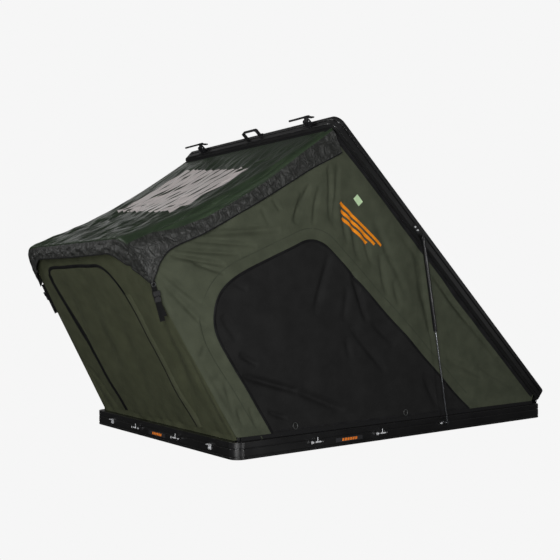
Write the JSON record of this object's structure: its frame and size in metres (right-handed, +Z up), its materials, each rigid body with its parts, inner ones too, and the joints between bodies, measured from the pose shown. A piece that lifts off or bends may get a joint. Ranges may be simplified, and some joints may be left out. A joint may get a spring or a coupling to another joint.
{
  "type": "roof top tent",
  "caption": "Hard-shell wedge roof top tent with a hinged lid on gas struts, canvas walls with zipped doors, a fly on a folding hoop, toggle latches and ladder brackets.",
  "frame": {"origin": "centre of the roof rack bolt pattern in the underside of the base, which is the centre of the base underside", "axes": "+X towards the hinged end, -X towards the entry end, +Y towards the left long side seen from the entry end, +Z up"},
  "size_m": [2.6601, 1.479, 1.6293],
  "materials": {
    "frame_black": "satin",
    "skin_black": "satin",
    "floor": "matte",
    "channel": "satin",
    "mattress_cover": "matte",
    "liner": "matte",
    "steel": "brushed",
    "dark_steel": "satin",
    "rod_steel": "polished",
    "rubber": "matte",
    "pole": "satin",
    "canvas": "matte",
    "canvas_dark": "matte",
    "door_black": "matte",
    "fly_cloth": "semi-gloss",
    "webbing": "matte",
    "badge": "matte"
  },
  "bodies": {
    "base": {"base_rail_right": "frame_black", "base_rail_left": "frame_black", "base_rail_rear": "frame_black", "base_rail_front": "frame_black", "base_corners": "frame_black", "floor_panel": "floor", "mounting_channels": "channel", "mattress": "mattress_cover", "wall_hems": "webbing", "hinge_base_leaf": "frame_black", "hinge_pin": "steel", "hinge_base_screws": "dark_steel", "strut_base_brackets": "frame_black", "strut_base_bolts": "steel", "latch_keepers": "steel", "keeper_bolts": "steel", "ladder_plates": "frame_black", "ladder_ears": "frame_black", "ladder_pins": "steel", "ladder_bolts": "dark_steel", "badge_plates": "badge", "hoop_feet": "frame_black", "hoop_foot_pins": "steel"},
    "lid": {"lid_rail_right": "frame_black", "lid_rail_left": "frame_black", "lid_rail_rear": "frame_black", "lid_rail_front": "frame_black", "lid_corners": "frame_black", "lid_skin": "skin_black", "lid_liner": "liner", "lid_seal": "rubber", "lid_handle": "frame_black", "handle_bolts": "steel", "latch_bases": "frame_black", "latch_pins": "steel", "hinge_lid_leaf": "frame_black", "hinge_lid_screws": "dark_steel", "strut_lid_brackets": "frame_black", "strut_lid_bolts": "steel", "side_front_right": "canvas", "side_front_left": "canvas", "door_right": "door_black", "door_left": "door_black", "hinge_flap": "webbing"},
    "strut_rod_right": {"strut_rod_right": "rod_steel"},
    "strut_rod_left": {"strut_rod_left": "rod_steel"},
    "strut_cylinder_right": {"strut_cylinder_right": "frame_black"},
    "strut_cylinder_left": {"strut_cylinder_left": "frame_black"},
    "hoop": {"hoop_pole": "pole", "rear_wall": "canvas_dark", "rear_window_flap": "canvas_dark", "roof_panel": "canvas_dark", "fly": "fly_cloth", "side_rear_right": "canvas", "side_rear_left": "canvas", "fly_straps": "webbing"},
    "latch_lever_right": {"latch_lever_right": "frame_black"},
    "latch_lever_left": {"latch_lever_left": "frame_black"},
    "latch_hook_right": {"latch_hook_right": "frame_black"},
    "latch_hook_left": {"latch_hook_left": "frame_black"}
  },
  "joints": [
    {"name": "lid_hinge", "type": "hinge", "parent": "base", "child": "lid", "pos_m": [1.09, 0, 0.088], "axis": [0, 1, 0], "range_deg": [-43, 0], "deforming": ["side_front_right", "side_front_left", "door_right", "door_left", "hinge_flap"]},
    {"name": "hoop_fold", "type": "hinge", "parent": "base", "child": "hoop", "pos_m": [-1.03, 0, 0.108], "axis": [0, 1, 0], "range_deg": [0, 119.5], "deforming": ["hoop_pole", "rear_wall", "rear_window_flap", "roof_panel", "fly", "side_rear_right", "side_rear_left", "fly_straps"]},
    {"name": "strut_swing_right", "type": "hinge", "parent": "base", "child": "strut_rod_right", "pos_m": [0.264, -0.729, 0.045], "axis": [0, 1, 0], "range_deg": [-74.49, 0]},
    {"name": "strut_slide_right", "type": "slide", "parent": "strut_rod_right", "child": "strut_cylinder_right", "axis": [-0.1721, 0, 0.9851], "range_m": [-0.45182, 0]},
    {"name": "strut_swing_left", "type": "hinge", "parent": "base", "child": "strut_rod_left", "pos_m": [0.264, 0.729, 0.045], "axis": [0, 1, 0], "range_deg": [-74.49, 0]},
    {"name": "strut_slide_left", "type": "slide", "parent": "strut_rod_left", "child": "strut_cylinder_left", "axis": [-0.1721, 0, 0.9851], "range_m": [-0.45182, 0]},
    {"name": "latch_lever_right", "type": "hinge", "parent": "lid", "child": "latch_lever_right", "pos_m": [-0.49447, -0.505, 1.59562], "axis": [0, 1, 0], "range_deg": [0, 25]},
    {"name": "latch_hook_right", "type": "hinge", "parent": "latch_lever_right", "child": "latch_hook_right", "pos_m": [-0.49745, -0.505, 1.62028], "axis": [0, 1, 0], "range_deg": [-69.6, 0]},
    {"name": "latch_lever_left", "type": "hinge", "parent": "lid", "child": "latch_lever_left", "pos_m": [-0.49447, 0.505, 1.59562], "axis": [0, 1, 0], "range_deg": [0, 25]},
    {"name": "latch_hook_left", "type": "hinge", "parent": "latch_lever_left", "child": "latch_hook_left", "pos_m": [-0.49745, 0.505, 1.62028], "axis": [0, 1, 0], "range_deg": [-69.6, 0]}
  ],
  "couplings": [
    {"joint": "hoop_fold", "follows": "lid_hinge", "ratio": -2.7791},
    {"joint": "strut_swing_right", "follows": "lid_hinge", "ratio": 1.7322},
    {"joint": "strut_slide_right", "follows": "lid_hinge", "m_per_rad": 0.60202},
    {"joint": "strut_swing_left", "follows": "lid_hinge", "ratio": 1.7322},
    {"joint": "strut_slide_left", "follows": "lid_hinge", "m_per_rad": 0.60202},
    {"joint": "latch_hook_right", "follows": "latch_lever_right", "ratio": -2.784},
    {"joint": "latch_hook_left", "follows": "latch_lever_left", "ratio": -2.784}
  ]
}
